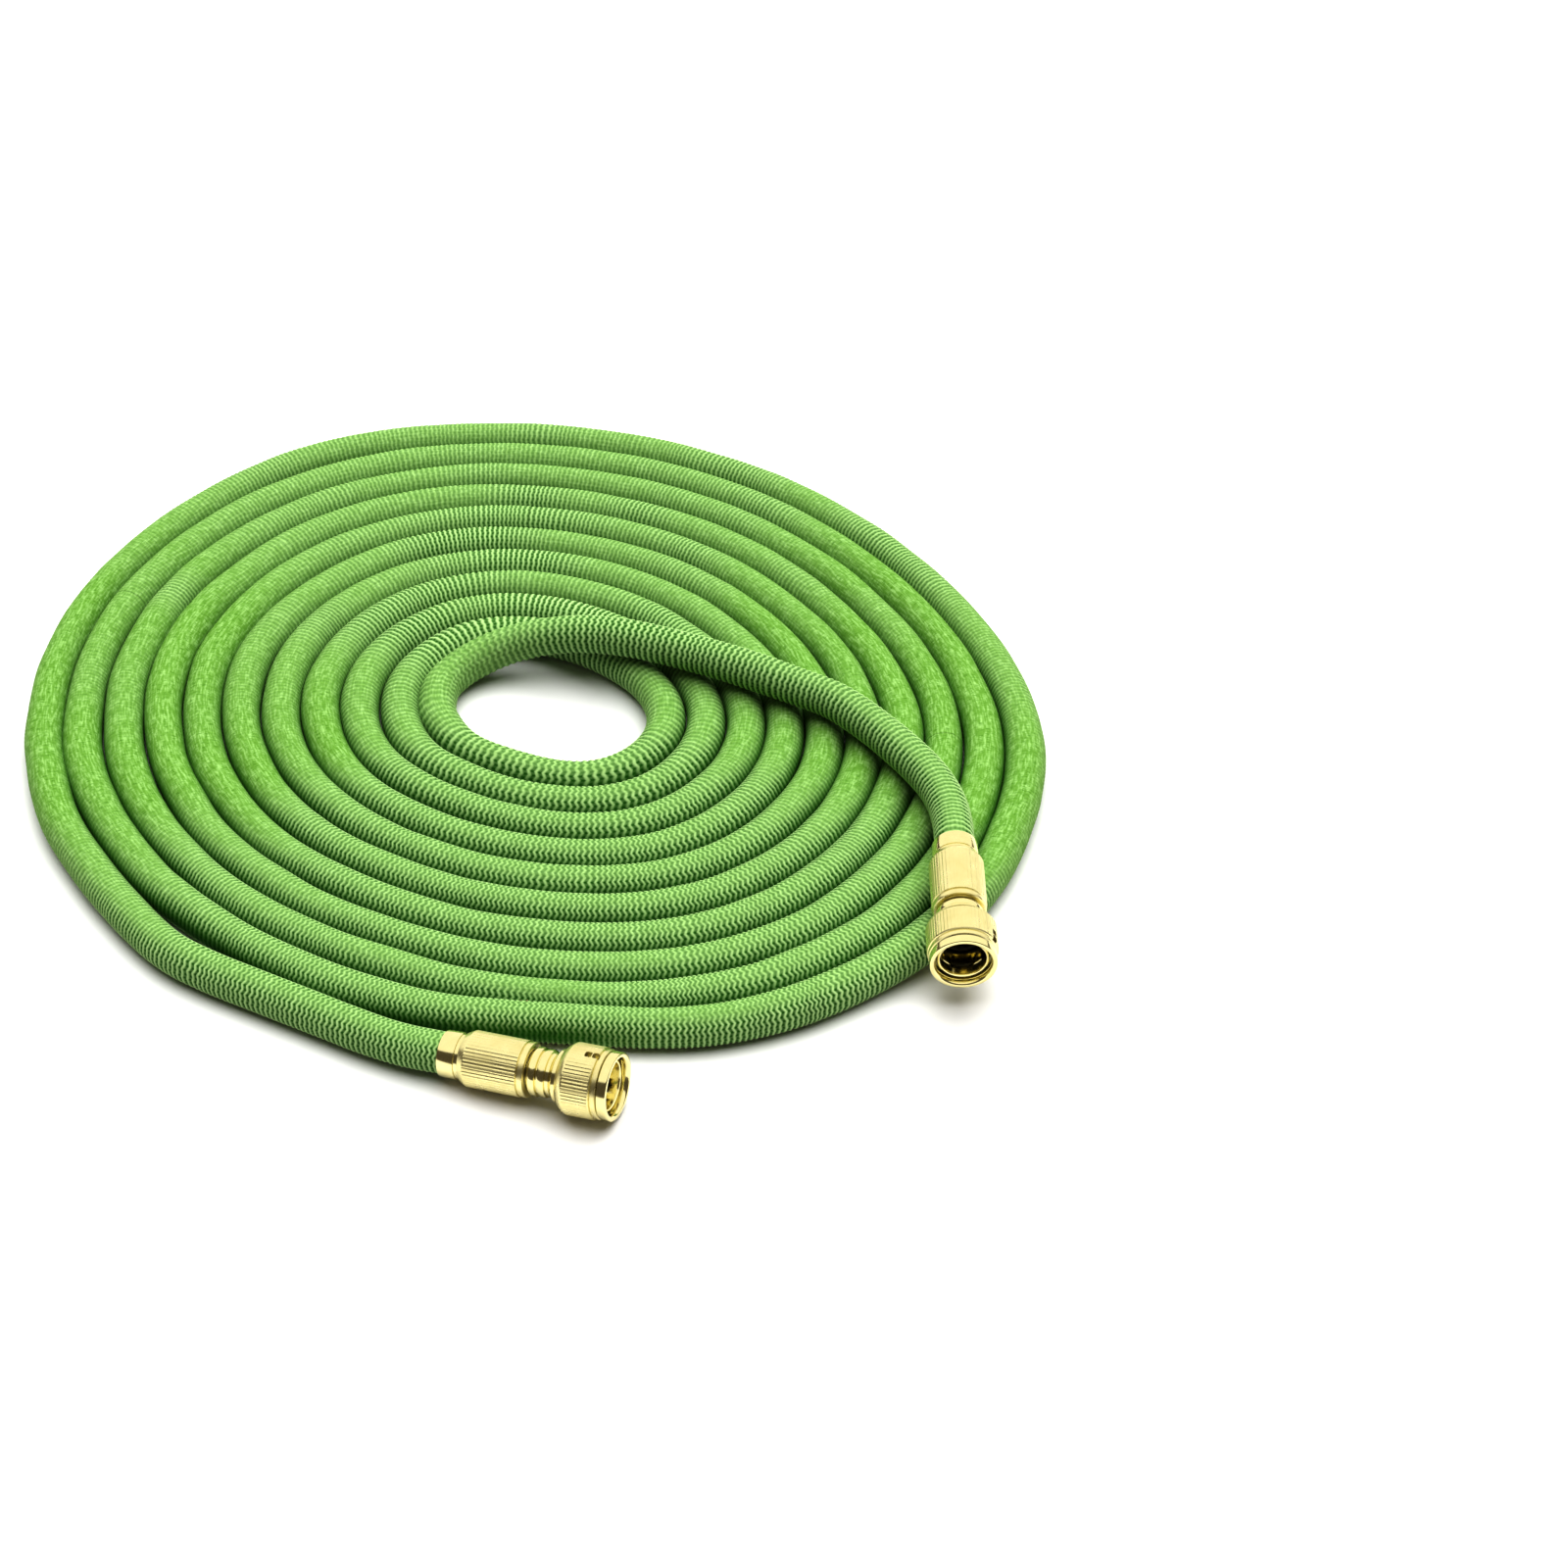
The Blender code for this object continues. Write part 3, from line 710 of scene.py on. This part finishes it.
def mouthProfile(back):
    r, front = brass["mouthRadius"], back + brass["mouthLength"]
    return [(13.95, back), (r - 0.2, back), (r, back + 0.3), (r, front - 0.7), (r - 0.1, front - 0.35),
            (r - 0.35, front - 0.1), (r - 0.7, front), (r - 1.9, front), (r - 2.3, front - 0.2),
            (r - 2.75, front - 0.9), (r - 3.1, front - 2.0), (13.95, front - 3.0)]


def addSeal(end, place, matrix):
    middle, thick = brass["socketRadius"] - 1.55, 1.2
    turn = [2 * math.pi * i / 14 for i in range(14)]
    profile = [(middle + thick * math.cos(a), place + thick * math.sin(a)) for a in turn]
    return settle(turnPiece(end + "_seal", profile, 48), matrix, nitrile, "hose", end + "_seal_ring", 60)


def addClaws(end, place, matrix, metal):
    made = []
    inside, outside = brass["socketRadius"] - 0.7, brass["barrelRadius"] - 0.2
    for number in range(4):
        angle = math.pi / 2 * (number + 0.5)
        middle = (inside + outside) / 2 * mm
        bpy.ops.object.select_all(action="DESELECT")
        bpy.ops.mesh.primitive_cube_add(size=1, location=(middle, 0, place * mm))
        claw = bpy.context.object
        claw.name = f"{end}_claw_{number + 1}"
        claw.scale = ((outside - inside) * mm, brass["clawSize"][0] * mm, brass["clawSize"][1] * mm)
        bpy.ops.object.transform_apply(location=True, rotation=False, scale=True)
        soften = claw.modifiers.new("corners", "BEVEL")
        soften.width = 0.6 * mm
        soften.segments = 3
        bpy.ops.object.modifier_apply(modifier="corners")
        turned = matrix @ Matrix.Rotation(angle, 4, "Z")
        made.append(settle(claw, turned, metal, "hose", f"{end}_locking_claw_{number + 1}"))
    return made


def addCoupling(end, facts):
    matrix = couplingMatrix(facts)
    polished = turnedBrass(end + " polished turned brass", end, brass["polish"])
    knurled = turnedBrass(end + " knurled brass", end, brass["knurlRoughness"])
    gap, neck = brass["clearance"], facts["neck"]
    bodyBack = brass["ferruleLength"] + gap
    neckBack = bodyBack + brass["bodyLength"] + gap
    front = neckBack + neck + brass["barrelLength"]
    ferrule = turnPiece(end + "_crimp_ferrule", ferruleProfile(0), brass["sides"])
    made = [settle(ferrule, matrix, polished, "hose", end + "_ferrule")]

    body = turnPiece(end + "_body", bodyProfile(bodyBack), 4 * brass["bodyTeeth"])
    knurl(body, brass["bodyTeeth"], brass["bodyRadius"],
          (bodyBack + 4.0, bodyBack + brass["bodyLength"] - 4.2), brass["knurlDepth"])
    made.append(settle(body, matrix, knurled, "hose", end + "_coupling_body", 12))

    connector = turnPiece(end + "_connector", connectorProfile(neckBack, neck), brass["sides"])
    clawPlace, middle = front - brass["clawFromFront"], brass["slotMiddle"]
    window = math.radians(facts["window"])
    windows = [(window + side, clawPlace + step) for side in (0, math.pi) for step in brass["windowSteps"]]
    clawSlots = [(middle, math.pi / 2 * (i + 0.5), clawPlace) for i in range(4)]
    cutSlots(connector, brass["clawSlot"], clawSlots, 0.4)
    cutSlots(connector, brass["barrelWindow"], [(middle, angle, place) for angle, place in windows], 0.4)
    made.append(settle(connector, matrix, polished, "hose", end + "_connector_body"))
    made += addClaws(end, clawPlace, matrix, polished)
    made.append(addSeal(end, front - brass["socketDepth"] + 1.55, matrix))

    collar = turnPiece(end + "_collar", collarProfile(front), 4 * brass["collarTeeth"])
    knurl(collar, brass["collarTeeth"], brass["collarRadius"],
          (front - brass["collarLength"] + 5.4, front - 4.1), brass["knurlDepth"])
    cutSlots(collar, brass["collarWindow"],
             [(brass["collarRadius"], angle, place) for angle, place in windows], 0.9)
    made.append(settle(collar, matrix, knurled, end + "_collar", end + "_release_collar", 12))
    mouth = turnPiece(end + "_mouth", mouthProfile(front + gap), brass["sides"])
    made.append(settle(mouth, matrix, polished, "hose", end + "_mouth_ring"))
    print(end, "coupling,", len(made), "pieces")
    return made


fittings = []
for end, facts in couplings.items():
    fittings += addCoupling(end, facts)

# A plain pale floor in a dim warm room, under one broad soft light high up, with a wide pale screen over and
# behind the hose that only the metal mirrors
studio = {
    "floor": "#E0E0E0", "grain": "#DCDCDD", "floorSize": 12, "room": "#FFF1D8", "roomStrength": 0.16,
    "gamma": 0.7,
    "lamps": {
        "softbox": {"from": (0.2, 0.34, 1.6), "spread": math.radians(80), "strength": 6.2, "mirrored": False},
        "screen": {"from": (0.1, 0.86, 1.6), "spread": math.radians(133), "strength": 2.9, "mirrored": True},
    },
}


def addStudio(settings):
    bpy.ops.object.select_all(action="DESELECT")
    bpy.ops.mesh.primitive_plane_add(size=settings["floorSize"])
    floor = bpy.context.object
    floor.name = "floor"
    material, tree, shader = newMaterial("matt white paper", {"Roughness": 0.9, "Specular IOR Level": 0.1})
    grain = addNode(tree, "TexNoise", {"Scale": 600}).outputs["Fac"]
    tree.links.new(mixColours(tree, settings["floor"], settings["grain"], grain), shader.inputs["Base Color"])
    floor.data.materials.append(material)
    for name, facts in settings["lamps"].items():
        data = bpy.data.lights.new(name, "SUN")
        data.energy = facts["strength"]
        data.angle = facts["spread"]
        lamp = bpy.data.objects.new(name, data)
        bpy.context.scene.collection.objects.link(lamp)
        lamp.location = facts["from"]
        lamp.rotation_euler = (-lamp.location).to_track_quat("-Z", "Y").to_euler()
        lamp.visible_camera = False
        lamp.visible_glossy = facts["mirrored"]
        lamp.visible_diffuse = not facts["mirrored"]
    world = bpy.data.worlds.new("studio")
    world.use_nodes = True
    back = world.node_tree.nodes["Background"]
    back.inputs["Color"].default_value = hexColour(settings["room"])
    back.inputs["Strength"].default_value = settings["roomStrength"]
    bpy.context.scene.world = world
    # The photograph's own hard contrast
    bpy.context.scene.view_settings.view_transform = "Standard"
    bpy.context.scene.view_settings.gamma = settings["gamma"]
    print("studio lit")


addStudio(studio)
